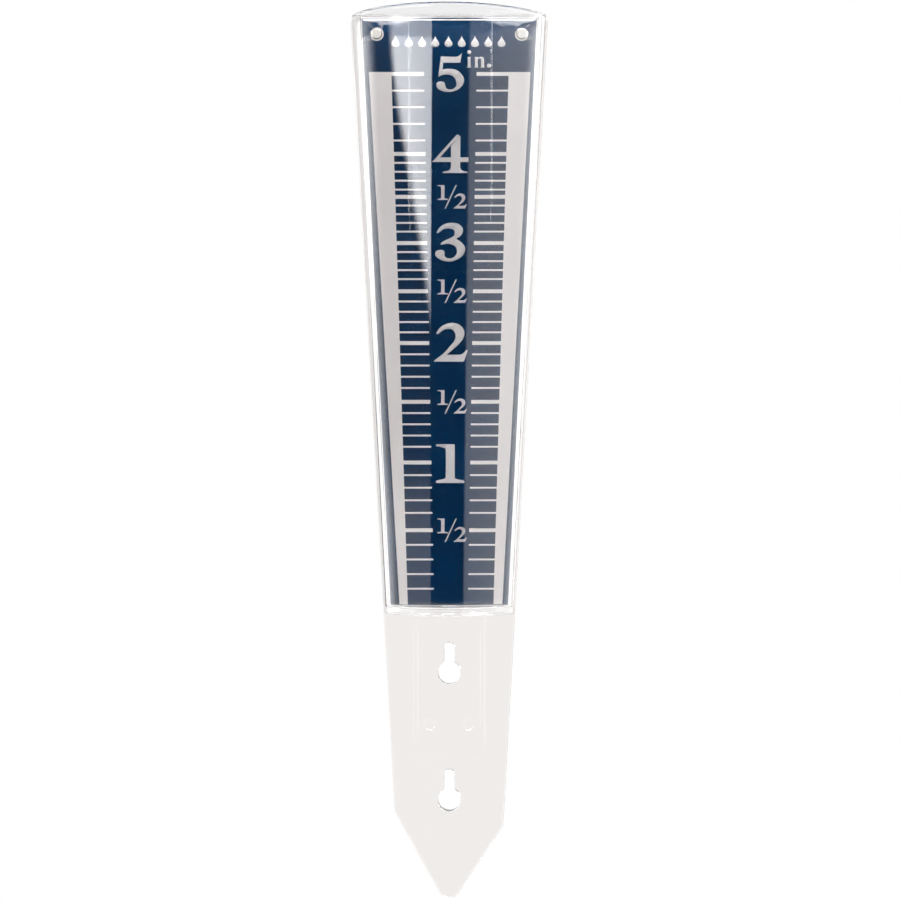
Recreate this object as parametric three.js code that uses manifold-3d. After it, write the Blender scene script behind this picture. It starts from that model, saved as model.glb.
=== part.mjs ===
// Manual rain gauge: a clear tapered vessel with a curved magnifying front, on a clear plate
// that runs down into a ground spike. A scale card sits in a pocket in the back of the plate,
// held by two push rivets. Millimetres, +Z up, front towards -Y. The origin is on the plate's
// rear face, midway between the two keyholes. Everything that tapers shares one cone apex far
// below the floor, so a width at any height is its value at the rim times taperAt(height).
import * as THREE from "three";
import * as BufferGeometryUtils from "three/addons/utils/BufferGeometryUtils.js";
import Module from "manifold-3d";

// Heights
const RIM_Z = 259;
const SCALE_ZERO_Z = 47.5;
const APEX_Z = SCALE_ZERO_Z - 432;
const SHOULDER_Z = { left: -26.9, right: -32.2 };
const TIP_Z = -58.5;

// Back plate: half width at the rim, thickness, and the spike's end
const PLATE_HALF_WIDTH = 35.4;
const PLATE_THICK = 3.2;
const TIP_RADIUS = 3.9;
const TOP_CORNER_RADIUS = 2.5;
const SPIKE_BEVEL = 0.9;

// Lens shell at the rim: half width and depth in front of the plate, outside and inside.
// The front is one arc each way, with nearly one wall thickness from the middle to the seam.
const SHELL_OUTSIDE = { half: 34.8, depth: 17, side: 0.6 };
const SHELL_INSIDE = { half: 32.6, depth: 14.8, side: 0 };
const FLOOR_TOP_Z = 46.3;
const FLOOR_THICK = 2.4;
const SEAM_GAP = 0.3;

// Scale card and the pocket it sits in
const CARD_HALF_WIDTH = 30.9;
const CARD_THICK = 0.7;
const CARD_FRONT_Y = -1.2;
const CARD_TOP_Z = 257.9;
const CARD_BOTTOM_Z = 46.9;
const CARD_HOLE_RADIUS = 2.4;
const POCKET_DEPTH = 1.5;
const POCKET_CLEARANCE = 0.4;

// Push rivets: a shank in a blind hole in the plate, and a head behind the card
const RIVET_X = 25.6;
const RIVET_Z = 252;
const RIVET_SHANK = { radius: 1.6, frontY: -2.4 };
const RIVET_HOLE = { radius: 1.9, frontY: -2.7 };
const RIVET_HEAD = { radius: 3.1, height: 0.4 };

// Keyholes, moulding marks and ribs on the stake
const KEYHOLE_Z = [22.8, -22.8];
const KEYHOLE_RADIUS = 4.1;
const KEYHOLE_SLOT_HALF = 1.9;
const KEYHOLE_SLOT_RISE = 10.8;
const MARK = { x: 7, z: 4.2, radius: 2, depth: 0.25 };
const RIB = { x: 12, width: 1.4, height: 0.2, top: 43, bottom: -3.5 };

const CURVE_SEGMENTS = 40;
const PAST = 1; // how far a cutter runs past the face that it opens

const wasm = await Module();
wasm.setup();

const clearPlastic = { color: 0xf4f2f0, roughness: 0.08, metalness: 0, transparent: true };
const SHELL_LOOK = { ...clearPlastic, opacity: 0.3 };
const PLATE_LOOK = { ...clearPlastic, opacity: 0.4 };
const RIVET_LOOK = { ...clearPlastic, opacity: 0.7 };
const CARD_LOOK = { color: 0x1a3657, roughness: 0.35, metalness: 0 };

function taperAt(z) {
  return (z - APEX_Z) / (RIM_Z - APEX_Z);
}

function toSolid(geometry) {
  const bare = geometry.clone();
  bare.deleteAttribute("normal");
  bare.deleteAttribute("uv");
  const merged = BufferGeometryUtils.mergeVertices(bare, 1e-4);
  return new wasm.Manifold(new wasm.Mesh({
    numProp: 3,
    vertProperties: merged.attributes.position.array,
    triVerts: new Uint32Array(merged.index.array),
  }));
}

function toGeometry(solid) {
  const { vertProperties, triVerts } = solid.getMesh();
  const geometry = new THREE.BufferGeometry();
  geometry.setAttribute("position", new THREE.BufferAttribute(vertProperties, 3));
  geometry.setIndex(new THREE.BufferAttribute(triVerts, 1));
  return geometry;
}

// A shape drawn in X and Z becomes a slab between two depths in Y.
function slab(shape, backY, frontY) {
  const geometry = new THREE.ExtrudeGeometry(shape, {
    depth: backY - frontY,
    bevelEnabled: false,
    curveSegments: CURVE_SEGMENTS,
  });
  return toSolid(geometry.rotateX(Math.PI / 2).translate(0, backY, 0));
}

// A shape drawn in X and Y at the rim becomes a column between two heights. It shrinks
// towards the cone apex, and the line y = fixedY stays where it is.
function taperedColumn(shape, fixedY, bottomZ, topZ) {
  const geometry = new THREE.ExtrudeGeometry(shape, {
    depth: topZ - bottomZ,
    bevelEnabled: false,
    curveSegments: CURVE_SEGMENTS,
  });
  geometry.translate(0, 0, bottomZ);
  const position = geometry.attributes.position;
  for (let i = 0; i < position.count; i += 1) {
    const scale = taperAt(position.getZ(i));
    position.setX(i, position.getX(i) * scale);
    position.setY(i, fixedY + (position.getY(i) - fixedY) * scale);
  }
  return toSolid(geometry);
}

// A bar along Y, round about the line at x and z.
function pinAlongY(radius, x, z, backY, frontY) {
  const geometry = new THREE.CylinderGeometry(radius, radius, backY - frontY, CURVE_SEGMENTS);
  return toSolid(geometry.translate(x, (backY + frontY) / 2, z));
}

// A tapered panel in X and Z, with its half width given at the rim.
function taperedPanel(halfWidth, bottomZ, topZ, margin) {
  const bottom = halfWidth * taperAt(bottomZ) + margin;
  const top = halfWidth * taperAt(topZ) + margin;
  const shape = new THREE.Shape();
  shape.moveTo(-bottom, bottomZ - margin);
  shape.lineTo(bottom, bottomZ - margin);
  shape.lineTo(top, topZ + margin);
  shape.lineTo(-top, topZ + margin);
  shape.closePath();
  return shape;
}

// D section at the rim: an arc in front, and short straight sides back to openY.
function vesselSection({ half, depth, side }, openY) {
  const backY = -PLATE_THICK - SEAM_GAP;
  const sagitta = depth - side;
  const radius = (half * half + sagitta * sagitta) / (2 * sagitta);
  const reach = Math.asin(half / radius);
  const shape = new THREE.Shape();
  shape.moveTo(-half, openY);
  const centreY = backY - depth + radius;
  shape.absarc(0, centreY, radius, -Math.PI / 2 - reach, -Math.PI / 2 + reach, false);
  shape.lineTo(half, openY);
  shape.closePath();
  return shape;
}

function lensShell() {
  const backY = -PLATE_THICK - SEAM_GAP;
  const bottomZ = FLOOR_TOP_Z - FLOOR_THICK;
  const outside = vesselSection(SHELL_OUTSIDE, backY);
  const inside = vesselSection(SHELL_INSIDE, backY + PAST);
  const outer = taperedColumn(outside, backY, bottomZ, RIM_Z);
  const inner = taperedColumn(inside, backY, FLOOR_TOP_Z, RIM_Z + PAST);
  return outer.subtract(inner);
}

// Where the straight spike edge from a shoulder touches the rounded end, as an angle on it.
function tipAngle(shoulderX, shoulderZ) {
  const dx = shoulderX;
  const dz = shoulderZ - (TIP_Z + TIP_RADIUS);
  const swing = Math.acos(TIP_RADIUS / Math.hypot(dx, dz));
  return Math.atan2(dz, dx) - Math.sign(shoulderX) * swing;
}

function shoulders() {
  const left = new THREE.Vector2(-PLATE_HALF_WIDTH * taperAt(SHOULDER_Z.left), SHOULDER_Z.left);
  const right = new THREE.Vector2(PLATE_HALF_WIDTH * taperAt(SHOULDER_Z.right), SHOULDER_Z.right);
  return { left, right };
}

function plateOutline() {
  const { left, right } = shoulders();
  const cornerX = PLATE_HALF_WIDTH - TOP_CORNER_RADIUS;
  const cornerZ = RIM_Z - TOP_CORNER_RADIUS;
  const shape = new THREE.Shape();
  shape.absarc(-cornerX, cornerZ, TOP_CORNER_RADIUS, Math.PI / 2, Math.PI, false);
  shape.lineTo(left.x, left.y);
  const from = tipAngle(left.x, left.y) - 2 * Math.PI;
  const to = tipAngle(right.x, right.y);
  shape.absarc(0, TIP_Z + TIP_RADIUS, TIP_RADIUS, from, to, false);
  shape.lineTo(right.x, right.y);
  shape.absarc(cornerX, cornerZ, TOP_CORNER_RADIUS, 0, Math.PI / 2, false);
  shape.closePath();
  return shape;
}

function keyholeOutline(centreZ) {
  const slotTopZ = centreZ + KEYHOLE_SLOT_RISE - KEYHOLE_SLOT_HALF;
  const halfMouth = Math.asin(KEYHOLE_SLOT_HALF / KEYHOLE_RADIUS);
  const shape = new THREE.Shape();
  const from = Math.PI / 2 + halfMouth;
  const to = 2 * Math.PI + Math.PI / 2 - halfMouth;
  shape.absarc(0, centreZ, KEYHOLE_RADIUS, from, to, false);
  shape.absarc(0, slotTopZ, KEYHOLE_SLOT_HALF, 0, Math.PI, false);
  shape.closePath();
  return shape;
}

// A square bar on the front edge of the spike, turned 45 degrees, that cuts its bevel.
function spikeBevel(shoulder) {
  const angle = tipAngle(shoulder.x, shoulder.y);
  const end = new THREE.Vector2(Math.cos(angle), Math.sin(angle)).multiplyScalar(TIP_RADIUS);
  end.y += TIP_Z + TIP_RADIUS;
  const side = SPIKE_BEVEL * Math.SQRT2;
  const bar = new THREE.BoxGeometry(end.distanceTo(shoulder), side, side);
  bar.rotateX(Math.PI / 4);
  bar.rotateY(-Math.atan2(end.y - shoulder.y, end.x - shoulder.x));
  const middle = end.clone().add(shoulder).multiplyScalar(0.5);
  return toSolid(bar.translate(middle.x, -PLATE_THICK, middle.y));
}

function rib(side) {
  const height = RIB.top - RIB.bottom;
  const bar = new THREE.BoxGeometry(RIB.width, RIB.height + PAST, height);
  const middleY = -PLATE_THICK - RIB.height + (RIB.height + PAST) / 2;
  return toSolid(bar.translate(side * RIB.x, middleY, RIB.bottom + height / 2));
}

function backPlate() {
  const { left, right } = shoulders();
  let plate = slab(plateOutline(), 0, -PLATE_THICK);
  for (const side of [-1, 1]) {
    plate = plate.add(rib(side));
    const markBack = -PLATE_THICK + MARK.depth;
    plate = plate.subtract(
      pinAlongY(RIVET_HOLE.radius, side * RIVET_X, RIVET_Z, PAST, RIVET_HOLE.frontY));
    plate = plate.subtract(
      pinAlongY(MARK.radius, side * MARK.x, MARK.z, markBack, -PLATE_THICK - PAST));
  }
  for (const centreZ of KEYHOLE_Z) {
    plate = plate.subtract(slab(keyholeOutline(centreZ), PAST, -PLATE_THICK - PAST));
  }
  const pocket = taperedPanel(CARD_HALF_WIDTH, CARD_BOTTOM_Z, CARD_TOP_Z, POCKET_CLEARANCE);
  plate = plate.subtract(slab(pocket, PAST, -POCKET_DEPTH));
  return plate.subtract(spikeBevel(left)).subtract(spikeBevel(right));
}

function scaleCard() {
  const panel = taperedPanel(CARD_HALF_WIDTH, CARD_BOTTOM_Z, CARD_TOP_Z, 0);
  const backY = CARD_FRONT_Y + CARD_THICK;
  let card = slab(panel, backY, CARD_FRONT_Y);
  for (const side of [-1, 1]) {
    const hole = pinAlongY(
      CARD_HOLE_RADIUS, side * RIVET_X, RIVET_Z, backY + PAST, CARD_FRONT_Y - PAST);
    card = card.subtract(hole);
  }
  return card;
}

// Turned about Y: the shank runs forward through the card into the plate's blind hole.
function rivetGeometry() {
  const seatY = CARD_FRONT_Y + CARD_THICK;
  const profile = [
    new THREE.Vector2(0, RIVET_SHANK.frontY),
    new THREE.Vector2(RIVET_SHANK.radius, RIVET_SHANK.frontY),
    new THREE.Vector2(RIVET_SHANK.radius, seatY),
    new THREE.Vector2(RIVET_HEAD.radius, seatY),
    new THREE.Vector2(RIVET_HEAD.radius, seatY + RIVET_HEAD.height),
    new THREE.Vector2(0, seatY + RIVET_HEAD.height),
  ];
  return new THREE.LatheGeometry(profile, CURVE_SEGMENTS);
}

function piece(name, geometry, look) {
  const mesh = new THREE.Mesh(geometry, new THREE.MeshStandardMaterial(look));
  mesh.name = name;
  return mesh;
}

function rivet(name, side) {
  const mesh = piece(name, rivetGeometry(), RIVET_LOOK);
  mesh.position.set(side * RIVET_X, 0, RIVET_Z);
  return mesh;
}

const gauge = new THREE.Group();
gauge.add(
  piece("lens_shell", toGeometry(lensShell()), SHELL_LOOK),
  piece("back_plate", toGeometry(backPlate()), PLATE_LOOK),
  piece("scale_card", toGeometry(scaleCard()), CARD_LOOK),
  rivet("card_rivet_left", -1),
  rivet("card_rivet_right", 1),
);

export default gauge;
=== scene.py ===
"""Manual rain gauge: clear tapered vessel and stake plate, navy scale card, printed scale.

Metres, +Z up, front towards -Y. Every piece is a surface worked out as numpy arrays.
"""
import math

import bmesh
import bpy
import numpy as np
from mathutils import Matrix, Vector
from mathutils.geometry import delaunay_2d_cdt


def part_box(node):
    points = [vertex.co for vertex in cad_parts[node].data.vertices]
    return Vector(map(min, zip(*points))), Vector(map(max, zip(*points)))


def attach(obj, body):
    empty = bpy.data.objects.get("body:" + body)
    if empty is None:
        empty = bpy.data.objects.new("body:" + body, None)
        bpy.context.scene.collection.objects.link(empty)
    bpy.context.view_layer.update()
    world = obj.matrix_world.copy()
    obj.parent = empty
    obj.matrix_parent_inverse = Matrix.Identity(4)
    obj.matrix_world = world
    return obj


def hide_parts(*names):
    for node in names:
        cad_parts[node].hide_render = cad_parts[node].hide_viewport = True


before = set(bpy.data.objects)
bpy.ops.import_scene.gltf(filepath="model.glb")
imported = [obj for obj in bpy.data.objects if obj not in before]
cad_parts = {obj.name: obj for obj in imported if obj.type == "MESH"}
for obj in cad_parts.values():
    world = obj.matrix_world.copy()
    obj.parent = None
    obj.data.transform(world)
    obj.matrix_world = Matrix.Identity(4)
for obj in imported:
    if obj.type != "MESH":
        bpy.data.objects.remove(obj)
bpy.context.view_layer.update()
MM = 0.001

# Taper: every width is its rim value times taper(z), on a cone whose apex is below the scale.
RIM_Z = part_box("back_plate")[1][2]
TIP_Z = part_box("back_plate")[0][2]
SCALE_ZERO_Z = 47.5 * MM
ZERO_TO_APEX = 432 * MM
APEX_Z = SCALE_ZERO_Z - ZERO_TO_APEX

# Vessel
SHELL_LOW, SHELL_HIGH = (np.array(corner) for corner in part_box("lens_shell"))
INSIDE_HALF = 32.6 * MM
INSIDE_DEPTH = 14.8 * MM
SIDE_WALL = 0.6 * MM
CORNER_BLEND = 0.8 * MM
FLOOR_Z = 46.3 * MM

# Plate
SEAM_GAP = 0.3 * MM
PLATE_FRONT_Y = SHELL_HIGH[1] + SEAM_GAP
PLATE_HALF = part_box("back_plate")[1][0]
TIP_RADIUS = 3.9 * MM
LEFT_SHOULDER_Z = -26.9 * MM
RIGHT_SHOULDER_Z = -32.2 * MM
KEYHOLES = (22.8 * MM, -22.8 * MM)
KEYHOLE_RADIUS = 4.1 * MM
SLOT_HALF = 1.9 * MM
SLOT_RISE = 10.8 * MM
TOP_CORNER = 2.5 * MM
MARK_X, MARK_Z, MARK_RADIUS, MARK_DEPTH = 7 * MM, 4.2 * MM, 2 * MM, 0.18 * MM
RIB_X, RIB_HALF, RIB_TOP, RIB_BOTTOM = 12 * MM, 0.7 * MM, 43 * MM, -3.5 * MM
RIB_FRONT_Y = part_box("back_plate")[0][1]
HOLE_POINTS = 48

# Card, pocket and rivets
CARD_LOW, CARD_HIGH = (np.array(corner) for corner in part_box("scale_card"))
POCKET_Y = -1.5 * MM
POCKET_MARGIN = 0.4 * MM
CARD_CORNER = 0.4 * MM
CARD_EDGE_STEP = 8 * MM
CARD_HOLE = 2.4 * MM
ROUND_POINTS = 56
RIVET_LOW, RIVET_HIGH = (np.array(corner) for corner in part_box("card_rivet_right"))
RIVET_X = (RIVET_LOW[0] + RIVET_HIGH[0]) / 2
RIVET_Z = (RIVET_LOW[2] + RIVET_HIGH[2]) / 2
RIVET_HOLE = 1.9 * MM
RIVET_HOLE_Y = -2.7 * MM

# Ink
INK_THICK = 0.05 * MM
INK_FRONT_Y = CARD_LOW[1] - INK_THICK

# Turns in radians, and how many points a rounded corner has
HALF_TURN = math.pi
QUARTER_TURN = math.pi / 2
TURN_STEPS = 6

# Mesh: doubles closer than WELD are merged, slivers under SLIVER dissolved, and a flat face is
# cut into triangles inside its bounds only.
WELD = 0.002 * MM
SLIVER = 0.001 * MM
INSIDE_ONLY = 1


def taper(z):
    """Width at height z over width at the rim: distance from the cone's apex, in rim units."""
    return (z - APEX_Z) / (RIM_Z - APEX_Z)


# ---------------------------------------------------------------- mesh tools

def grid_quads(rows, columns):
    """Quads of a grid of points numbered row by row."""
    corner = np.arange(rows - 1)[:, None] * columns + np.arange(columns - 1)[None, :]
    corner = corner.ravel()
    return np.stack([corner, corner + 1, corner + columns + 1, corner + columns], axis=1)


def ring_quads(rows, columns):
    """Quads of a grid whose last column joins its first."""
    row = np.arange(rows - 1)[:, None] * columns
    here, beside = np.arange(columns)[None, :], np.roll(np.arange(columns), -1)[None, :]
    quads = [row + here, row + beside, row + columns + beside, row + columns + here]
    return np.stack([part.ravel() for part in quads], axis=1)


class Surface:
    """Collects patches of one closed surface, then welds them into one mesh."""

    def __init__(self):
        self.points = []
        self.faces = []
        self.count = 0

    def add(self, points, faces):
        self.points.append(np.asarray(points, float).reshape(-1, 3))
        self.faces.extend([[int(i) + self.count for i in face] for face in faces])
        self.count += len(self.points[-1])

    def piece(self, name, material, slot, *nodes):
        """One object at the origin: doubles merged, faces outwards, smooth, on the root body."""
        mesh = bpy.data.meshes.new(name)
        mesh.from_pydata(np.concatenate(self.points), [], self.faces)
        shape = bmesh.new()
        shape.from_mesh(mesh)
        bmesh.ops.remove_doubles(shape, verts=shape.verts, dist=WELD)
        bmesh.ops.dissolve_degenerate(shape, edges=shape.edges, dist=SLIVER)
        bmesh.ops.recalc_face_normals(shape, faces=shape.faces)
        shape.to_mesh(mesh)
        shape.free()
        mesh.shade_smooth()
        mesh.materials.append(material)
        item = bpy.data.objects.new(name, mesh)
        bpy.context.scene.collection.objects.link(item)
        weighted = item.modifiers.new("even_normals", "WEIGHTED_NORMAL")
        weighted.weight = 100  # the largest face at a corner sets its normal
        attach(item, "root")
        if nodes:
            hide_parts(*nodes)
        return item


def mitre(loop):
    """Outward mitre vectors of a closed counter-clockwise loop: neighbour normals, joined."""
    edge = np.roll(loop, -1, axis=0) - loop
    normal = np.stack([edge[:, 1], -edge[:, 0]], axis=1)
    normal /= np.linalg.norm(normal, axis=1, keepdims=True)
    before = np.roll(normal, 1, axis=0)
    spread = 1 + np.sum(normal * before, axis=1, keepdims=True)
    return (normal + before) / spread


def step_rings(loop, offsets, depths):
    """Rings of a loop in X and Z moved outwards by each offset, at each depth in Y."""
    outward = mitre(loop)
    rings = []
    for offset, depth in zip(offsets, depths):
        flat = loop + outward * np.asarray(offset).reshape(-1, 1)
        rings.append(np.stack([flat[:, 0], np.full(len(flat), depth), flat[:, 1]], axis=1))
    return np.stack(rings)


def add_band(surface, rings):
    """Rings of equal length joined each to the next."""
    surface.add(rings, ring_quads(rings.shape[0], rings.shape[1]))


def add_flat(surface, depth, outer, holes=()):
    """Flat face at one depth, bounded by a ring and open inside each hole ring."""
    loops = [ring[:, [0, 2]] for ring in (outer, *holes)]
    starts = np.cumsum([0] + [len(loop) for loop in loops])
    corners = [Vector(point) for loop in loops for point in loop / MM]
    bounds = [list(range(a, b)) for a, b in zip(starts[:-1], starts[1:])]
    found, _, triangles, _, _, owners = delaunay_2d_cdt(
        corners, [], bounds, INSIDE_ONLY, 1e-5)
    kept = [tri for tri, owner in zip(triangles, owners) if list(owner) == [0]]
    flat = np.array(found) * MM
    surface.add(np.stack([flat[:, 0], np.full(len(flat), depth), flat[:, 1]], axis=1), kept)


def quarter(radius, steps=4):
    """Quarter circle from (radius in, face) to (edge, radius deep): insets and depths."""
    angle = np.linspace(0, QUARTER_TURN, steps + 1)
    return radius * (1 - np.sin(angle)), radius * (1 - np.cos(angle))


def circle(x, z, radius, count):
    """A closed ring of points at one radius from a centre, anticlockwise."""
    angle = np.linspace(0, 2 * HALF_TURN, count, endpoint=False)
    return np.stack([x + radius * np.cos(angle), z + radius * np.sin(angle)], axis=1)


def arc(x, z, radius, start, end, count):
    """Points at one radius from a centre, evenly spaced from the start to the end angle."""
    angle = np.linspace(start, end, count)
    return np.stack([x + radius * np.cos(angle), z + radius * np.sin(angle)], axis=1)


def along(loop, spacing):
    """The same closed loop with extra points, so that no edge is longer than spacing."""
    following = np.roll(loop, -1, axis=0)
    pieces = []
    for start, end in zip(loop, following):
        count = max(1, int(np.ceil(np.linalg.norm(end - start) / spacing)))
        share = np.arange(count)[:, None] / count
        pieces.append(start + (end - start) * share)
    return np.concatenate(pieces)


# ---------------------------------------------------------------- vessel

def d_section(half, depth, side, count):
    """One wall of the vessel at the rim from above, with its back line on y = 0.

    Short straight sides and a front that is one circular arc, walked by length. The corners
    are rounded by averaging the outline over CORNER_BLEND.
    """
    sagitta = depth - side
    radius = (half ** 2 + sagitta ** 2) / (2 * sagitta)
    reach = math.asin(half / radius)
    run = side + CORNER_BLEND
    total = 2 * run + 2 * reach * radius
    samples = 4001
    length = np.linspace(0, total, samples)
    angle = np.clip((length - run) / radius - reach, -reach, reach)
    overrun = np.maximum(0, np.maximum(run - length, length - total + run))
    x = radius * np.sin(angle)
    y = radius - depth - radius * np.cos(angle) + overrun
    window = int(CORNER_BLEND / (length[1] - length[0])) | 1
    kernel = np.ones(window) / window
    x, y = (np.convolve(values, kernel, mode="same") for values in (x, y))
    at = np.linspace(CORNER_BLEND, total - CORNER_BLEND, count)
    points = np.stack([np.interp(at, length, x), np.interp(at, length, y)], axis=1)
    points[[0, -1], 1] = 0
    return points


def wall_profile():
    """The wall's closed section as rows of (share of the wall, height, share from the axis).

    Under the floor outwards, up the outside, over the rounded rim, down the inside, round
    the fillet and back along the floor to the axis. A wall share of 0 is outside, 1 inside.
    """
    bottom = SHELL_LOW[2]
    foot, lip, fillet = 0.6 * MM, 0.6 * MM, 1.2 * MM
    support = 0.4 * MM  # a row this near each rounding keeps the shading of the wall straight
    floor_rows, wall_rows = 8, 26
    wall = SHELL_HIGH[1] - SHELL_LOW[1] - INSIDE_DEPTH
    turn = np.linspace(0, QUARTER_TURN, TURN_STEPS)
    rising, falling = np.sin(turn), np.cos(turn)
    shares = np.linspace(0, 1, floor_rows)[:-1]
    outside = np.concatenate([
        [bottom + foot + support],
        np.linspace(bottom + foot, RIM_Z - lip, wall_rows)[1:-1],
        [RIM_Z - lip - support],
    ])
    above_fillet = FLOOR_Z + fillet + support
    rows = [(foot / wall, bottom, share) for share in shares]
    rows += [(foot / wall * (1 - b), bottom + foot * (1 - a), 1)
             for a, b in zip(falling, rising)]
    rows += [(0, z, 1) for z in outside]
    rows += [(lip / wall * (1 - a), RIM_Z - lip * (1 - b), 1) for a, b in zip(falling, rising)]
    rows += [(1 - lip / wall * (1 - b), RIM_Z - lip * (1 - a), 1)
             for a, b in zip(falling, rising)]
    rows += [(1, z, 1) for z in outside[::-1] if z > above_fillet]
    rows += [(1, above_fillet, 1)]
    rows += [(1 + fillet / wall * (1 - a), FLOOR_Z + fillet * (1 - b), 1)
             for a, b in zip(falling, rising)]
    rows += [(1 + fillet / wall, FLOOR_Z, share) for share in shares[::-1]]
    return np.array(rows)


def lens_shell(material):
    """Outside and inside arcs mixed by the wall share, and shrunk by the taper at each height."""
    count = 201
    outside = d_section(SHELL_HIGH[0], SHELL_HIGH[1] - SHELL_LOW[1], SIDE_WALL, count)
    inside = d_section(INSIDE_HALF, INSIDE_DEPTH, 0, count)
    mix, height, share = (column[:, None, None] for column in wall_profile().T)
    flat = (outside[None] + (inside - outside)[None] * mix) * share * taper(height)
    grid = np.concatenate([
        flat[..., :1],
        flat[..., 1:] + SHELL_HIGH[1],
        np.broadcast_to(height, flat.shape[:2] + (1,)),
    ], axis=2)
    surface = Surface()
    rows, columns = grid.shape[:2]
    surface.add(grid, grid_quads(rows, columns))
    for column in (0, columns - 1):
        surface.add(grid[:, column], [list(range(rows))])
    return surface.piece("vessel_moulding", material, "clear_shell", "lens_shell")


# ---------------------------------------------------------------- plate

def tip_angle(shoulder):
    """Where a straight spike edge from a shoulder touches the round tip."""
    reach = shoulder - np.array([0, TIP_Z + TIP_RADIUS])
    swing = math.acos(TIP_RADIUS / np.linalg.norm(reach))
    return math.atan2(reach[1], reach[0]) - math.copysign(swing, shoulder[0])


def plate_outline():
    """Straight tapering sides, two spike edges and a round tip, counter-clockwise."""
    tip_points, corner_points, longest_edge = 17, 7, 6 * MM
    left = np.array([-PLATE_HALF * taper(LEFT_SHOULDER_Z), LEFT_SHOULDER_Z])
    right = np.array([PLATE_HALF * taper(RIGHT_SHOULDER_Z), RIGHT_SHOULDER_Z])
    tip = arc(0, TIP_Z + TIP_RADIUS, TIP_RADIUS,
              tip_angle(left) - 2 * HALF_TURN, tip_angle(right), tip_points)
    corner_x, corner_z = PLATE_HALF - TOP_CORNER, RIM_Z - TOP_CORNER
    corners = [arc(corner_x, corner_z, TOP_CORNER, 0, QUARTER_TURN, corner_points),
               arc(-corner_x, corner_z, TOP_CORNER, QUARTER_TURN, HALF_TURN, corner_points)]
    return along(np.concatenate([tip, [right], *corners, [left]]), longest_edge)


def keyhole(centre_z):
    """A round hole with a narrower slot above it that ends in a half circle."""
    bowl_points, slot_points, longest_edge = 49, 17, 1 * MM
    mouth = math.asin(SLOT_HALF / KEYHOLE_RADIUS)
    top = centre_z + SLOT_RISE - SLOT_HALF
    bowl = arc(0, centre_z, KEYHOLE_RADIUS,
               QUARTER_TURN + mouth, 5 * QUARTER_TURN - mouth, bowl_points)
    slot_end = arc(0, top, SLOT_HALF, 0, HALF_TURN, slot_points)
    return along(np.concatenate([bowl, slot_end]), longest_edge)


def card_panel(margin):
    """The card's tapered outline with rounded corners, moved outwards by the margin."""
    half = CARD_HIGH[0] / taper(CARD_HIGH[2])
    low, high = CARD_LOW[2] - margin, CARD_HIGH[2] + margin
    lower = half * taper(low) + margin - CARD_CORNER
    upper = half * taper(high) + margin - CARD_CORNER
    corners = ((lower, low + CARD_CORNER), (upper, high - CARD_CORNER),
               (-upper, high - CARD_CORNER), (-lower, low + CARD_CORNER))
    return np.concatenate([
        arc(x, z, CARD_CORNER, (turn - 1) * QUARTER_TURN, turn * QUARTER_TURN, TURN_STEPS)
        for turn, (x, z) in enumerate(corners)])


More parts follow.
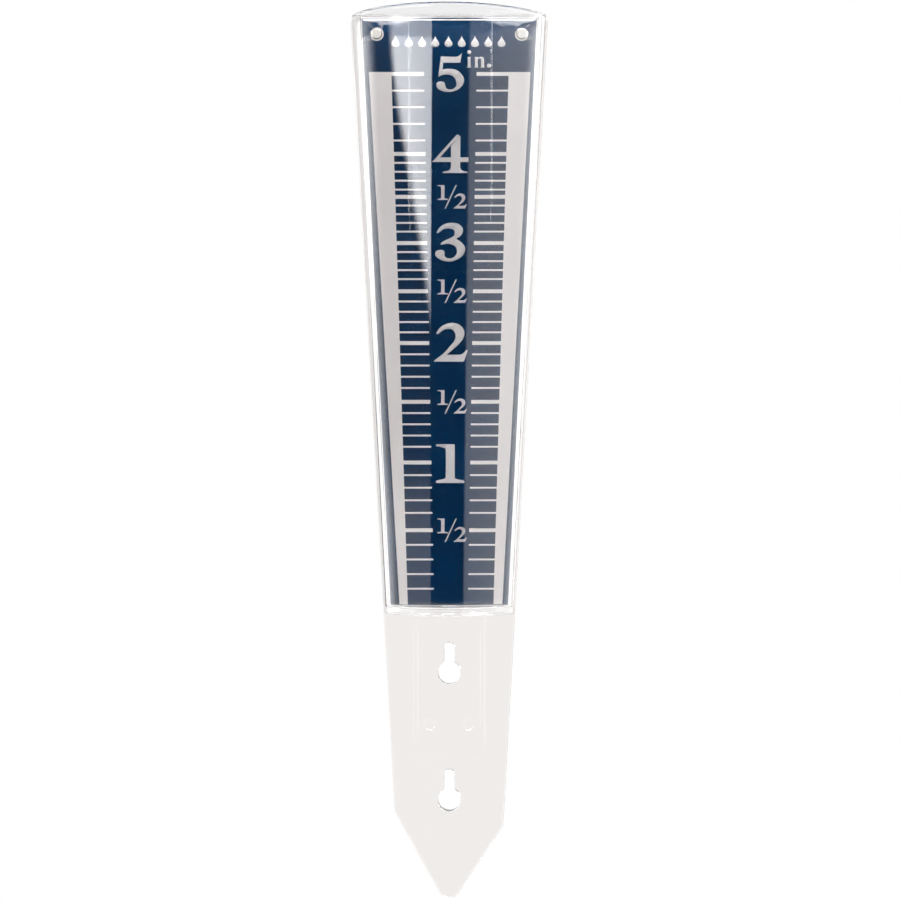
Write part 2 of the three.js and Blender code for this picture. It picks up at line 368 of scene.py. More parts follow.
def back_plate(material):
    """Bands carried round each outline, with flat faces filling what lies between them.

    The outlines are the plate's own edge, the keyholes, the pocket, the blind holes for the
    rivets, two shallow moulding marks and two low ribs.
    """
    surface = Surface()
    outline = plate_outline()
    rounding = 0.5 * MM
    rear_inset, rear_depth = quarter(rounding)
    front_inset, front_depth = quarter(1.0)
    spike_top, spike_blend = -20 * MM, 12 * MM
    spike = np.clip((spike_top - outline[:, 1]) / spike_blend, 0, 1)
    front_radius = rounding * (1 + spike)  # twice as round in the spike
    insets = [-np.full(len(outline), inset) for inset in rear_inset]
    insets += [-front_radius * share for share in front_inset[::-1]]
    depths = list(-rear_depth) + list(PLATE_FRONT_Y + rounding * front_depth[::-1])
    rim = step_rings(outline, insets, depths)
    add_band(surface, rim)

    soft_inset, soft_depth = quarter(0.12 * MM)
    through = np.concatenate([soft_inset, soft_inset[::-1]])
    through_depths = np.concatenate([-soft_depth, PLATE_FRONT_Y + soft_depth[::-1]])
    keyholes = [step_rings(keyhole(z), through, through_depths) for z in KEYHOLES]
    pocket_loop = along(card_panel(POCKET_MARGIN), CARD_EDGE_STEP)
    edge = 0.25 * MM
    pocket = step_rings(
        pocket_loop, [edge, 0, 0, -edge], [0, -edge, POCKET_Y + edge, POCKET_Y])
    rivet_holes = []
    marks = []
    ribs = []
    for side in (-1, 1):
        hole = circle(side * RIVET_X, RIVET_Z, RIVET_HOLE, HOLE_POINTS)
        rivet_holes.append(step_rings(
            hole, [0.1 * MM, 0, 0, -edge],
            [POCKET_Y, POCKET_Y - 0.1 * MM, RIVET_HOLE_Y + edge, RIVET_HOLE_Y]))
        mark = circle(side * MARK_X, MARK_Z, MARK_RADIUS, HOLE_POINTS)
        sunk = PLATE_FRONT_Y + MARK_DEPTH
        marks.append(step_rings(
            mark, [0.2 * MM, 0.1 * MM, -0.2 * MM, -0.3 * MM],
            [PLATE_FRONT_Y, PLATE_FRONT_Y + 0.01 * MM, sunk - 0.01 * MM, sunk]))
        corners = np.array([[-RIB_HALF, RIB_BOTTOM], [RIB_HALF, RIB_BOTTOM],
                            [RIB_HALF, RIB_TOP], [-RIB_HALF, RIB_TOP]])
        loop = along(corners + [side * RIB_X, 0], 10 * MM)
        middle = (PLATE_FRONT_Y + RIB_FRONT_Y) / 2
        ribs.append(step_rings(
            loop, [0.5 * MM, 0.35 * MM, 0.05 * MM, -0.25 * MM, -0.4 * MM],
            [PLATE_FRONT_Y, PLATE_FRONT_Y - 0.03 * MM, middle,
             RIB_FRONT_Y + 0.03 * MM, RIB_FRONT_Y]))
    for rings in (*keyholes, pocket, *rivet_holes, *marks, *ribs):
        add_band(surface, rings)
    add_flat(surface, 0, rim[0], [keyholes[0][0], keyholes[1][0], pocket[0]])
    add_flat(surface, POCKET_Y, pocket[-1], [rings[0] for rings in rivet_holes])
    add_flat(surface, PLATE_FRONT_Y, rim[-1],
             [rings[-1] for rings in keyholes] + [rings[0] for rings in (*marks, *ribs)])
    for rings in (*marks, *ribs, *rivet_holes):
        add_flat(surface, rings[-1, 0, 1], rings[-1])
    return surface.piece("stake_plate_moulding", material, "clear_plate", "back_plate")


# ---------------------------------------------------------------- card and rivets

def scale_card(material):
    """A thin panel with two round holes: an edge band, two hole bands and two faces."""
    surface = Surface()
    soft = 0.12 * MM
    back, front = CARD_HIGH[1], CARD_LOW[1]
    outline = along(card_panel(0), CARD_EDGE_STEP)
    depths = [back, back - soft, front + soft, front]
    rim = step_rings(outline, [-soft, 0, 0, -soft], depths)
    holes = [step_rings(circle(side * RIVET_X, RIVET_Z, CARD_HOLE, ROUND_POINTS),
                        [soft, 0, 0, soft], depths) for side in (-1, 1)]
    for rings in (rim, *holes):
        add_band(surface, rings)
    add_flat(surface, back, rim[0], [rings[0] for rings in holes])
    add_flat(surface, front, rim[-1], [rings[-1] for rings in holes])
    return surface.piece("scale_card_sheet", material, "navy_card", "scale_card")


def rivet(name, node, side, material):
    """A profile turned about Y: a shank with a rounded end, and a flat head behind the card."""
    front, rear = RIVET_LOW[1], RIVET_HIGH[1]
    seat = CARD_HIGH[1]
    wide, shank, soft = RIVET_HIGH[0] - RIVET_X, 1.6 * MM, 0.3 * MM
    front_chamfer, rear_chamfer = 0.08 * MM, 0.15 * MM
    turn = np.linspace(0, QUARTER_TURN, TURN_STEPS)
    profile = [(0, front)]
    profile += [(shank - soft * (1 - math.sin(a)), front + soft * (1 - math.cos(a)))
                for a in turn]
    profile += [
        (shank, seat), (wide - front_chamfer, seat), (wide, seat + front_chamfer),
        (wide, rear - rear_chamfer), (wide - rear_chamfer, rear), (0, rear),
    ]
    radius, depth = (np.array(column)[:, None] for column in zip(*profile))
    angle = np.linspace(0, 2 * HALF_TURN, ROUND_POINTS, endpoint=False)[None]
    x = side * RIVET_X + radius * np.cos(angle)
    z = RIVET_Z + radius * np.sin(angle)
    grid = np.stack([x, np.broadcast_to(depth, x.shape), z], axis=2)
    surface = Surface()
    surface.add(grid, ring_quads(*x.shape))
    return surface.piece(name, material, "clear_rivet", node)


# ---------------------------------------------------------------- ink

def counter_clockwise(loop):
    """The loop, reversed if its signed area is negative."""
    ahead = np.roll(loop, -1, axis=0)
    area = np.sum(loop[:, 0] * ahead[:, 1] - loop[:, 1] * ahead[:, 0])
    return loop if area > 0 else loop[::-1]


def ink(name, outlines, material):
    """The union of closed outlines in X and Z, as a thin slab on the card's front.

    The outlines are triangulated together, so overlaps merge. Edges with one triangle are
    the rim, which is closed by a wall from the front to the back.
    """
    outlines = [counter_clockwise(loop) for loop in outlines]
    starts = np.cumsum([0] + [len(loop) for loop in outlines])
    corners = [Vector(point) for loop in outlines for point in loop / MM]
    bounds = [list(range(a, b)) for a, b in zip(starts[:-1], starts[1:])]
    found, _, triangles, _, _, owners = delaunay_2d_cdt(
        corners, [], bounds, INSIDE_ONLY, 1e-4)
    faces = np.array([tri for tri, owner in zip(triangles, owners) if len(owner)])
    flat = np.array(found) * MM
    front = np.stack([flat[:, 0], np.full(len(flat), INK_FRONT_Y), flat[:, 1]], axis=1)
    back = front + [0, INK_THICK, 0]
    sides = np.concatenate([faces[:, [0, 1]], faces[:, [1, 2]], faces[:, [2, 0]]])
    _, first, times = np.unique(np.sort(sides, axis=1), axis=0,
                                return_index=True, return_counts=True)
    rim = sides[first[times == 1]]
    walls = np.concatenate([rim, rim[:, ::-1] + len(flat)], axis=1)
    surface = Surface()
    surface.add(np.concatenate([front, back]),
                [*faces.tolist(), *(faces[:, ::-1] + len(flat)).tolist(), *walls.tolist()])
    return surface.piece(name, material, "navy_card")


# Printed heights of the half-inch marks from zero up, in mm, and how much of the gap under each
# one a tenth takes. The print steps its tenths evenly downwards from every half-inch mark and
# leaves what remains above the mark below. Between 4 and 5 a step is two tenths.
MARK_HEIGHTS = (47.5, 73.9, 98.2, 120.0, 141.1, 159.7, 177.0, 193.6, 209.0, 237.7)
TENTH_SHARES = (0.199, 0.186, 0.185, 0.191, 0.198, 0.187, 0.188, 0.208, 0.208)


def mark_height(inches):
    """Height of a half-inch mark."""
    return MARK_HEIGHTS[min(round(2 * inches), 9)] * MM


def graduations():
    """Every mark as (height, is half-inch mark): five steps down from each half-inch mark."""
    marks = []
    for low, high, share in zip(MARK_HEIGHTS, MARK_HEIGHTS[1:], TENTH_SHARES):
        marks += [((high - step * share * (high - low)) * MM, step == 0) for step in range(5)]
    return marks


# Figures, on a cap height of 1 from the baseline. A point given twice is a sharp corner.
FIGURES = {
    "1": [[
        (0, 0.95), (0, 1), (0, 1), (0.47, 1), (0.47, 1), (0.47, 0.2), (0.5, 0.11),
        (0.7, 0.06), (0.71, 0), (0.71, 0), (0, 0), (0, 0), (0.01, 0.06), (0.2, 0.11),
        (0.24, 0.2), (0.24, 0.84), (0.2, 0.9), (0.08, 0.94)]],
    "2": [[
        (0.05, 0.74), (0.15, 0.88), (0.28, 0.965), (0.42, 1), (0.6, 0.97), (0.73, 0.86),
        (0.765, 0.71), (0.71, 0.56), (0.59, 0.42), (0.44, 0.285), (0.31, 0.175),
        (0.31, 0.175), (0.5, 0.175), (0.66, 0.18), (0.75, 0.225), (0.81, 0.3), (0.85, 0.28),
        (0.85, 0.28), (0.75, 0), (0.75, 0), (0, 0), (0, 0), (0.01, 0.035), (0.23, 0.21),
        (0.38, 0.38), (0.49, 0.51), (0.54, 0.64), (0.52, 0.75), (0.45, 0.83), (0.35, 0.845),
        (0.23, 0.815), (0.1, 0.72)]],
    "3": [[
        (0.04, 0.755), (0.115, 0.88), (0.25, 0.97), (0.42, 1), (0.6, 0.965), (0.7, 0.86),
        (0.695, 0.74), (0.63, 0.65), (0.53, 0.59), (0.53, 0.59), (0.65, 0.51), (0.735, 0.42),
        (0.765, 0.31), (0.725, 0.19), (0.62, 0.085), (0.465, 0.015), (0.33, 0), (0.175, 0.03),
        (0.04, 0.115), (0, 0.19), (0.025, 0.265), (0.115, 0.3), (0.215, 0.28), (0.24, 0.21),
        (0.235, 0.155), (0.285, 0.1), (0.375, 0.08), (0.48, 0.115), (0.545, 0.205),
        (0.555, 0.3), (0.51, 0.39), (0.42, 0.44), (0.3, 0.46), (0.17, 0.435), (0.14, 0.46),
        (0.205, 0.52), (0.36, 0.595), (0.465, 0.65), (0.5, 0.735), (0.48, 0.81), (0.405, 0.845),
        (0.3, 0.855), (0.19, 0.82), (0.08, 0.74)]],
    "4": [
        [(0, 0.285), (0, 0.285), (0.64, 1), (0.64, 1), (0.72, 0.945), (0.72, 0.945),
         (0.48, 0.725), (0.48, 0.725), (0.2, 0.4), (0.2, 0.4)],
        [(0.48, 0.7), (0.48, 0.7), (0.72, 0.95), (0.72, 0.95), (0.712, 0.15), (0.712, 0.15),
         (0.48, 0.15), (0.48, 0.15)],
        [(0, 0.285), (0, 0.285), (0.925, 0.285), (0.925, 0.285), (0.925, 0.403),
         (0.925, 0.403), (0.18, 0.403), (0.18, 0.403)],
        [(0.27, 0), (0.27, 0), (0.28, 0.03), (0.4, 0.055), (0.46, 0.1), (0.48, 0.18),
         (0.48, 0.18), (0.712, 0.18), (0.712, 0.18), (0.73, 0.1), (0.79, 0.055), (0.89, 0.03),
         (0.9, 0), (0.9, 0)]],
    "5": [[
        (0.115, 0.915), (0.115, 0.915), (0.4, 0.905), (0.53, 0.91), (0.61, 0.96), (0.65, 1),
        (0.65, 1), (0.61, 0.755), (0.61, 0.755), (0.175, 0.755), (0.175, 0.755),
        (0.155, 0.575), (0.155, 0.575), (0.28, 0.595), (0.42, 0.59), (0.56, 0.535),
        (0.67, 0.42), (0.705, 0.3), (0.66, 0.165), (0.54, 0.055), (0.4, 0.005), (0.3, 0),
        (0.16, 0.02), (0.04, 0.09), (0, 0.175), (0.03, 0.245), (0.115, 0.27), (0.205, 0.24),
        (0.225, 0.165), (0.26, 0.09), (0.34, 0.06), (0.43, 0.075), (0.505, 0.155),
        (0.51, 0.25), (0.47, 0.36), (0.38, 0.43), (0.27, 0.45), (0.13, 0.43), (0.06, 0.39),
        (0.05, 0.4), (0.05, 0.4)]],
}
SLASH = [(0, 0), (0, 0), (0.055, 0), (0.055, 0), (0.52, 1), (0.52, 1), (0.465, 1), (0.465, 1)]
LETTER_I = [(0, 0), (0, 0), (0.46, 0), (0.46, 0), (0.45, 0.05), (0.4, 0.1), (0.4, 0.1),
            (0.4, 1), (0.4, 1), (0.02, 0.93), (0.02, 0.93), (0.12, 0.86), (0.12, 0.1),
            (0.02, 0.05)]
LETTER_N = [(0, 0), (0, 0), (0.44, 0), (0.44, 0), (0.4, 0.1), (0.38, 0.65), (0.46, 0.8),
            (0.58, 0.84), (0.66, 0.76), (0.68, 0.6), (0.68, 0.1), (0.62, 0), (0.62, 0),
            (1.08, 0), (1.08, 0), (0.97, 0.1), (0.96, 0.7), (0.9, 0.9), (0.74, 1),
            (0.54, 0.97), (0.38, 0.86), (0.38, 0.86), (0.38, 1), (0.38, 1), (0.02, 0.93),
            (0.02, 0.93), (0.12, 0.86), (0.12, 0.1)]
DROP = [(0.5, 1.45), (0.5, 1.45), (0.62, 1.1), (0.86, 0.75), (1, 0.42), (0.9, 0.13),
        (0.68, 0.01), (0.5, 0), (0.32, 0.01), (0.1, 0.13), (0, 0.42), (0.14, 0.75), (0.38, 1.1)]


def smooth_loop(points, steps=8):
    """Closed Catmull-Rom curve through the points; a doubled point keeps its corner."""
    knots = np.array(points, float)
    before, after = np.roll(knots, 1, axis=0), np.roll(knots, -1, axis=0)
    beyond = np.roll(knots, -2, axis=0)
    t = (np.arange(steps) / steps)[None, :, None]
    before, knots, after, beyond = (part[:, None] for part in (before, knots, after, beyond))
    curve = knots + 0.5 * t * (
        after - before
        + t * (2 * before - 5 * knots + 4 * after - beyond
               + t * (3 * knots - before - 3 * after + beyond)))
    curve = curve.reshape(-1, 2)
    step = np.linalg.norm(curve - np.roll(curve, 1, axis=0), axis=1)
    return curve[step > 1e-3]


def placed(outlines, height, x, z, centred=True):
    """Unit outlines scaled to a height, with their middle, or left foot, at x and z."""
    loops = [smooth_loop(points) for points in outlines]
    if centred:
        every = np.concatenate(loops)
        middle = (every.min(axis=0) + every.max(axis=0)) / 2
    else:
        middle = np.zeros(2)
    return [(loop - middle) * height + [x, z] for loop in loops]


def figure(digit, material):
    """A whole-inch figure on its own mark, set a little higher the further up the scale."""
    cap_height, middle_x, lift = 13.9 * MM, 0.3 * MM, 0.16 * MM
    z = mark_height(float(digit)) + lift * (int(digit) - 1)
    loops = placed(FIGURES[digit], cap_height, middle_x, z)
    return ink("figure_" + digit, loops, material)


def half_figure(name, inches, material):
    """One over two on the half-inch mark: small figures either side of a slash."""
    foot = mark_height(inches) - 4.2 * MM
    left = -4.2 * MM
    loops = placed(FIGURES["1"], 5.3 * MM, left, foot + 3.1 * MM, centred=False)
    loops += placed([SLASH], 8.4 * MM, left + 2.5 * MM, foot, centred=False)
    loops += placed(FIGURES["2"], 5.4 * MM, left + 5.75 * MM, foot, centred=False)
    return ink(name, loops, material)


def unit_word(material):
    """The word in. raised beside the top figure."""
    height, left, foot = 3.9 * MM, 6 * MM, 240 * MM
    loops = placed([LETTER_I], height, left, foot, centred=False)
    loops += placed([LETTER_N], height, left + 0.66 * height, foot, centred=False)
    loops.append(circle(left + 0.27 * height, foot + 1.42 * height, 0.18 * height, 20))
    loops.append(circle(left + 2.06 * height, foot + 0.18 * height, 0.19 * height, 20))
    return ink("figure_inches_word", loops, material)


def heading(material):
    """A row of nine raindrops, and a painted highlight: a white ink hairline under the card's top
    edge.
    """
    width, spacing, middle_x, z = 2.8 * MM, 4.7 * MM, -0.3 * MM, 249.5 * MM
    loops = []
    for step in range(-4, 5):
        loops += placed([DROP], width, spacing * step + middle_x, z)
    # painted highlight: a white ink line across the card just under its top edge, where a bright
    # line of light shows under the rim
    top, half = 257.15 * MM, 0.24 * MM
    edge = CARD_HIGH[0] - 0.5 * MM
    loops.append(np.array([[-edge, top - half], [edge, top - half],
                           [edge, top + half], [-edge, top + half]]))
    return ink("heading_raindrops_and_painted_highlight", loops, material)


# Distances of a comb's edges from the middle in mm, at its foot and its top. The print sits a
# little to one side.
COMB_EDGES = {
    -1: {"bar_outer": (17.6, 28.3), "bar_inner": (14.7, 20.5), "tick_end": (5.4, 9.0)},
    1: {"bar_outer": (18.7, 28.6), "bar_inner": (15.6, 21.0), "tick_end": (6.6, 9.7)},
}


def comb(name, side, material):
    """A tapered bar with a tick at every graduation, joined to it on the inner side."""
    low, high = 47.2 * MM, mark_height(5) + 0.7 * MM

    def edge_x(edge, z):
        return side * np.interp(z, (low, high), COMB_EDGES[side][edge]) * MM

    outlines = [np.array([[edge_x("bar_outer", low), low], [edge_x("bar_inner", low), low],
                          [edge_x("bar_inner", high), high], [edge_x("bar_outer", high), high]])]
    overlap = side * 0.5 * MM
    for z, major in graduations():
        half = (0.68 if major else 0.32) * MM
        tick = np.array([[edge_x("tick_end", z), z - half], [edge_x("tick_end", z), z + half],
                         [edge_x("bar_inner", z) + overlap, z + half],
                         [edge_x("bar_inner", z) + overlap, z - half]])
        outlines.append(tick)
    return ink(name, outlines, material)


# ---------------------------------------------------------------- materials

def linear(colour):
    """sRGB hex to linear red, green, blue and alpha."""
    parts = [int(colour[i:i + 2], 16) / 255 for i in (0, 2, 4)]
    return tuple(c / 12.92 if c <= 0.04045 else ((c + 0.055) / 1.055) ** 2.4
                 for c in parts) + (1.0,)


def add(tree, kind, inputs=None, **settings):
    """A node with its settings; inputs are sockets to link or values to set."""
    node = tree.nodes.new("ShaderNode" + kind)
    for key, value in settings.items():
        setattr(node, key, value)
    for key, value in (inputs or {}).items():
        if isinstance(value, bpy.types.NodeSocket):
            tree.links.new(value, node.inputs[key])
        else:
            node.inputs[key].default_value = value
    return node


def new_material(name):
    material = bpy.data.materials.new(name)
    material.use_nodes = True
    tree = material.node_tree
    tree.nodes.clear()
    return material, tree


# Pattern scales are in repeats a metre, because Object coordinates are in metres.
FLOW_SCALE = 45.0  # flow waves about 22 mm long, as a moulding of this size has
HAZE_SCALE = 260.0  # handling haze in patches of about 4 mm
FROST_SCALE = 900.0  # a frosted grain of 0.2 mm, drawn 1.1 mm coarse so that it shows
SHEET_SCALE = 1400.0  # print grain of 0.1 mm, drawn 0.7 mm coarse so that it shows
INK_SCALE = 700.0  # screen mesh of 0.1 mm, drawn 1.4 mm coarse so that it shows


def clear_polystyrene(name, tint, faint_tint, roughness, grain):
    """Injection moulded crystal polystyrene: gives refraction, bright edges, sharp glints."""
    material, tree = new_material(name)
    place = add(tree, "TexCoord").outputs["Object"]
    flow = add(tree, "TexNoise", {"Vector": place, "Scale": FLOW_SCALE, "Detail": 2.0})
    tone = add(tree, "Mix", {0: flow.outputs["Fac"], 6: linear(tint), 7: linear(faint_tint)},
               data_type="RGBA")
    haze = add(tree, "TexNoise", {"Vector": place, "Scale": HAZE_SCALE, "Detail": 3.0})
    rough = add(tree, "MapRange", {"Value": haze.outputs["Fac"], "From Min": 0.35,
                                   "From Max": 0.75, "To Min": roughness,
                                   "To Max": roughness + 0.03})
    bump = add(tree, "Bump", {"Height": flow.outputs["Fac"], "Strength": grain,
                              "Distance": 0.2 * MM})
    shader = add(tree, "BsdfPrincipled", {
        "Base Color": tone.outputs[2], "Roughness": rough.outputs[0],
        "Normal": bump.outputs[0], "IOR": 1.55, "Transmission Weight": 1.0})
    add(tree, "OutputMaterial", {"Surface": shader.outputs[0]})
    return material


def milky_polystyrene(name):
    """Push rivets in clear plastic with a frosted skin: light from behind makes a warm disc."""
    material, tree = new_material(name)
    place = add(tree, "TexCoord").outputs["Object"]
    frost = add(tree, "TexNoise", {"Vector": place, "Scale": FROST_SCALE, "Detail": 3.0})
    tone = add(tree, "Mix", {0: frost.outputs["Fac"], 6: linear("fdfbf4"),
                             7: linear("fffefa")}, data_type="RGBA")
    bump = add(tree, "Bump", {"Height": frost.outputs["Fac"], "Strength": 0.2,
                              "Distance": 0.05 * MM})
    shader = add(tree, "BsdfPrincipled", {
        "Base Color": tone.outputs[2], "Roughness": 0.3, "Normal": bump.outputs[0],
        "IOR": 1.5, "Transmission Weight": 1.0})
    add(tree, "OutputMaterial", {"Surface": shader.outputs[0]})
    return material


def navy_sheet(name):
    """Printed styrene sheet, glossy: an even deep navy that mirrors the dark gap ahead."""
    material, tree = new_material(name)
    place = add(tree, "TexCoord").outputs["Object"]
    grain = add(tree, "TexNoise", {"Vector": place, "Scale": SHEET_SCALE, "Detail": 2.0})
    tone = add(tree, "Mix", {0: grain.outputs["Fac"], 6: linear("02325a"),
                             7: linear("06385f")}, data_type="RGBA")
    bump = add(tree, "Bump", {"Height": grain.outputs["Fac"], "Strength": 0.15,
                              "Distance": 0.03 * MM})
    shader = add(tree, "BsdfPrincipled", {
        "Base Color": tone.outputs[2], "Roughness": 0.12, "Normal": bump.outputs[0]})
    add(tree, "OutputMaterial", {"Surface": shader.outputs[0]})
    return material


def white_ink(name, thin, full):
    """Screen printed ink, matt: near white, with faint mottling from the screen's mesh. One copy
    also paints a highlight line.
    """
    material, tree = new_material(name)
    place = add(tree, "TexCoord").outputs["Object"]
    mottle = add(tree, "TexNoise", {"Vector": place, "Scale": INK_SCALE, "Detail": 3.0})
    tone = add(tree, "Mix", {0: mottle.outputs["Fac"], 6: linear(thin),
                             7: linear(full)}, data_type="RGBA")
    bump = add(tree, "Bump", {"Height": mottle.outputs["Fac"], "Strength": 0.2,
                              "Distance": 0.03 * MM})
    shader = add(tree, "BsdfPrincipled", {
        "Base Color": tone.outputs[2], "Roughness": 0.55, "Normal": bump.outputs[0]})
    add(tree, "OutputMaterial", {"Surface": shader.outputs[0]})
    return material


def floor_paper(name):
    """Matt grey card: the bright roof lifts it to nearly white, so no horizon shows."""
    material, tree = new_material(name)
    shader = add(tree, "BsdfPrincipled", {"Base Color": linear("8a8a89"), "Roughness": 0.9})
    add(tree, "OutputMaterial", {"Surface": shader.outputs[0]})
    return material


# ---------------------------------------------------------------- studio

CAMERA_DISTANCE = 0.64
CAMERA_RIGHT = 0.044  # the lens stands to the right, and the frame is shifted back to the gauge
CAMERA_Z = 0.093
VIEW_WIDTH = 0.3244
VIEW_CENTRE_Z = 0.1027
AIM_X = 0.0001


def camera():
    data = bpy.data.cameras.new("studio_camera")
    item = bpy.data.objects.new("studio_camera", data)
    bpy.context.scene.collection.objects.link(item)
    item.location = (AIM_X + CAMERA_RIGHT, -CAMERA_DISTANCE, CAMERA_Z)
    item.rotation_euler = (math.pi / 2, 0, 0)
    data.sensor_width = 36
    data.lens = 36 * CAMERA_DISTANCE / VIEW_WIDTH
    data.shift_x = -CAMERA_RIGHT / VIEW_WIDTH
    data.shift_y = (VIEW_CENTRE_Z - CAMERA_Z) / VIEW_WIDTH
    data.clip_start = 0.01
    bpy.context.scene.camera = item


# The light round the gauge as a function of direction, one node a row: result, node, mode and
# inputs, where a name stands for an earlier result. Angles are in degrees: turn is 0 towards the
# camera's side and grows to the right, rise is above the horizon. Strength 1 is a white sheet.
LIGHT = (
    ("turn_radians", "Math", "ARCTAN2", {0: "x", 1: "ahead"}),
    ("turn", "Math", "MULTIPLY", {0: "turn_radians", 1: 180 / math.pi}),
    ("rise_radians", "Math", "ARCSINE", {0: "z"}),
    ("rise", "Math", "MULTIPLY", {0: "rise_radians", 1: 180 / math.pi}),
    ("side", "Math", "ABSOLUTE", {0: "turn"}),
    # nothing is lit in the gap the lens looks through; its left edge leans
    ("lean", "Math", "MULTIPLY_ADD", {0: "rise", 1: -0.53, 2: "turn"}),
    # left of it a soft panel above a slanting edge, black cloth below, and a pale sheet lower
    ("left", "MapRange", "SMOOTHSTEP", {0: "lean", 1: -22.4, 2: -23.6}),
    ("slant", "Math", "MULTIPLY_ADD", {0: "turn", 1: 0.201, 2: "rise"}),
    ("over_slant", "MapRange", "SMOOTHSTEP", {0: "slant", 1: -2.6, 2: -0.5}),
    ("panel_end", "MapRange", "SMOOTHSTEP", {0: "turn", 1: -63.0, 2: -53.0}),
    ("falloff", "MapRange", "SMOOTHSTEP", {0: "turn", 1: -18.0, 2: -42.0, 3: 5.6, 4: 6.8}),
    ("panel_lit", "Math", "MULTIPLY", {0: "over_slant", 1: "panel_end"}),
    ("panel_left", "Math", "MULTIPLY", {0: "panel_lit", 1: "left"}),
    ("panel", "Math", "MULTIPLY", {0: "panel_left", 1: "falloff"}),
    ("low_sheet", "MapRange", "SMOOTHSTEP", {0: "rise", 1: -1.6, 2: -4.4, 3: 0.06, 4: 0.75}),
    # right of it a plain white wall
    ("wall", "MapRange", "LINEAR", {0: "turn", 1: 18.0, 2: 62.0, 3: 1.05, 4: 1.4}),
    ("right", "MapRange", "SMOOTHSTEP", {0: "turn", 1: 16.5, 2: 20.5}),
    ("right_wall", "Math", "MULTIPLY", {0: "right", 1: "wall"}),
    ("left_low", "Math", "MULTIPLY", {0: "left", 1: "low_sheet"}),
    ("front", "Math", "ADD", {0: "right_wall", 1: "left_low"}),
    ("front_lit", "Math", "ADD", {0: "front", 1: "panel"}),
    # strip lights at both sides, brighter higher up
    ("strip_power", "MapRange", "SMOOTHSTEP", {0: "rise", 1: 2.0, 2: 11.0, 3: 3.0, 4: 4.8}),
    ("strip_edge", "MapRange", "SMOOTHSTEP", {0: "side", 1: 75.0, 2: 98.0}),
    ("strip", "Math", "MULTIPLY", {0: "strip_edge", 1: "strip_power"}),
    ("with_strips", "Math", "ADD", {0: "front_lit", 1: "strip"}),
    # two seams in the tent that lean inwards, down to a cross seam
    ("seam_lean", "Math", "MULTIPLY_ADD", {0: "rise", 1: 0.835, 2: "side"}),
    ("seam_off", "Math", "COMPARE", {0: "seam_lean", 1: 48.6, 2: 0.45}),
    ("seam_top", "Math", "GREATER_THAN", {0: "rise", 1: 5.45}),
    ("seam", "Math", "MULTIPLY", {0: "seam_off", 1: "seam_top"}),
    ("with_seams", "Math", "MULTIPLY_ADD", {0: "seam", 1: 5.0, 2: "with_strips"}),
    # a black valance just over the rim's reflection, then the bright front of the roof
    ("under_valance", "MapRange", "SMOOTHSTEP", {0: "rise", 1: 11.54, 2: 11.42}),
    ("low_part", "Math", "MULTIPLY", {0: "with_seams", 1: "under_valance"}),
    ("roof_edge", "MapRange", "SMOOTHSTEP", {0: "rise", 1: 18.0, 2: 24.0, 3: 0.0, 4: 12.5}),
    ("roof_top", "MapRange", "SMOOTHSTEP", {0: "rise", 1: 62.0, 2: 48.0, 3: 0.15, 4: 1.0}),
    ("roof", "Math", "MULTIPLY", {0: "roof_edge", 1: "roof_top"}),
    ("ahead_light", "Math", "ADD", {0: "low_part", 1: "roof"}),
    # behind the gauge hangs one white sheet, greyer past its edges, which darkens outlines
    ("behind", "MapRange", "SMOOTHSTEP", {0: "side", 1: 96.0, 2: 104.0}),
    ("in_front", "Math", "SUBTRACT", {0: 1.0, 1: "behind"}),
    ("ahead_part", "Math", "MULTIPLY", {0: "ahead_light", 1: "in_front"}),
    ("level", "Math", "ABSOLUTE", {0: "rise"}),
    ("sheet_width", "MapRange", "SMOOTHSTEP", {0: "side", 1: 122.0, 2: 142.0, 3: 0.4, 4: 1.0}),
    ("sheet_height", "MapRange", "SMOOTHSTEP", {0: "level", 1: 42.0, 2: 28.0, 3: 0.4, 4: 1.0}),
    ("sheet", "Math", "MULTIPLY", {0: "sheet_width", 1: "sheet_height"}),
    ("sheet_part", "Math", "MULTIPLY", {0: "sheet", 1: "behind"}),
    ("strength", "Math", "ADD", {0: "ahead_part", 1: "sheet_part"}),
)


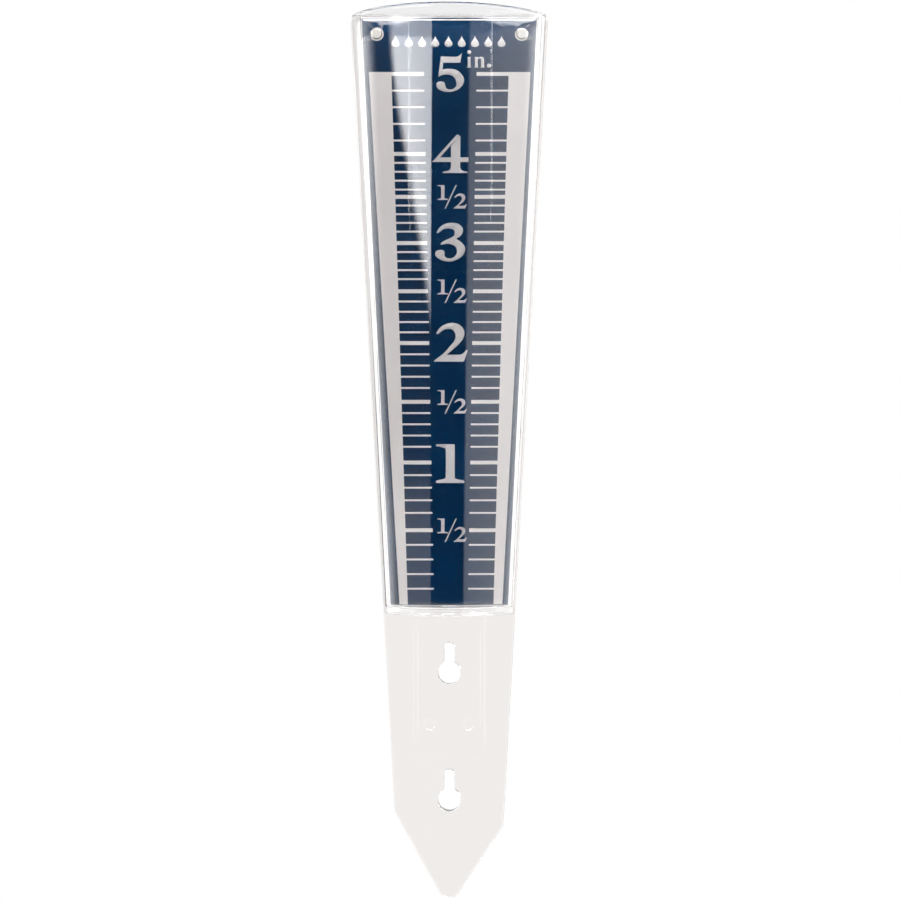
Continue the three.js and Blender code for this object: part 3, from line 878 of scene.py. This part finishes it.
def studio_light():
    """A white tent with a dark gap for the lens, a soft panel, side strips and a bright roof."""
    world = bpy.data.worlds.new("white_tent")
    bpy.context.scene.world = world
    world.use_nodes = True
    tree = world.node_tree
    tree.nodes.clear()
    toward = add(tree, "TexCoord").outputs["Generated"]
    axes = add(tree, "SeparateXYZ", {0: toward})
    ahead = add(tree, "Math", {0: axes.outputs["Y"], 1: -1.0}, operation="MULTIPLY")
    made = {"x": axes.outputs["X"], "z": axes.outputs["Z"], "ahead": ahead.outputs[0]}
    for result, kind, mode, inputs in LIGHT:
        setting = "operation" if kind == "Math" else "interpolation_type"
        values = {key: made.get(value, value) for key, value in inputs.items()}
        made[result] = add(tree, kind, values, **{setting: mode}).outputs[0]
    lit = add(tree, "Background", {"Color": (1, 1, 1, 1), "Strength": made["strength"]})
    plain = add(tree, "Background", {"Color": (1, 1, 1, 1), "Strength": 1.0})
    seen = add(tree, "LightPath").outputs["Is Camera Ray"]
    mixed = add(tree, "MixShader", {0: seen, 1: lit.outputs[0], 2: plain.outputs[0]})
    add(tree, "OutputWorld", {"Surface": mixed.outputs[0]})
    bpy.context.scene.view_settings.view_transform = "Standard"


def floor():
    """A round sheet of grey card well below the gauge, which hangs clear of it."""
    radius, drop, count = 1.1, 0.42, 96
    loop = circle(0, 0, radius, count)
    points = np.stack([loop[:, 0], loop[:, 1], np.full(len(loop), -drop)], axis=1)
    mesh = bpy.data.meshes.new("floor_sheet")
    mesh.from_pydata(points, [], [list(range(len(points)))])
    mesh.materials.append(floor_paper("matt_grey_card"))
    item = bpy.data.objects.new("floor_sheet", mesh)
    bpy.context.scene.collection.objects.link(item)


camera()
studio_light()
floor()
shell_plastic = clear_polystyrene("clear_polystyrene_polished", "f7f7f8", "fafafb", 0.0, 0.03)
plate_plastic = clear_polystyrene("clear_polystyrene_moulded", "f8f5f3", "fbf8f6", 0.01, 0.04)
rivet_plastic = milky_polystyrene("frosted_polystyrene")
comb_ink = white_ink("screen_printed_white_ink", "fafafb", "fefefe")
# the figure ink also paints the highlight line under the card's top edge
figure_and_painted_highlight_ink = white_ink("screen_printed_figures_and_painted_highlight_line", "e0e1e4", "eaebed")
lens_shell(shell_plastic)
back_plate(plate_plastic)
scale_card(navy_sheet("navy_printed_styrene"))
rivet("card_rivet_left_plug", "card_rivet_left", -1, rivet_plastic)
rivet("card_rivet_right_plug", "card_rivet_right", 1, rivet_plastic)
comb("left_graduations", -1, comb_ink)
comb("right_graduations", 1, comb_ink)
for digit in "12345":
    figure(digit, figure_and_painted_highlight_ink)
for count, inches in enumerate((0.5, 1.5, 2.5, 3.5)):
    half_figure(f"figure_half_{count}", inches, figure_and_painted_highlight_ink)
unit_word(figure_and_painted_highlight_ink)
# printed raindrops, and a painted highlight line under the card's top edge
heading(figure_and_painted_highlight_ink)
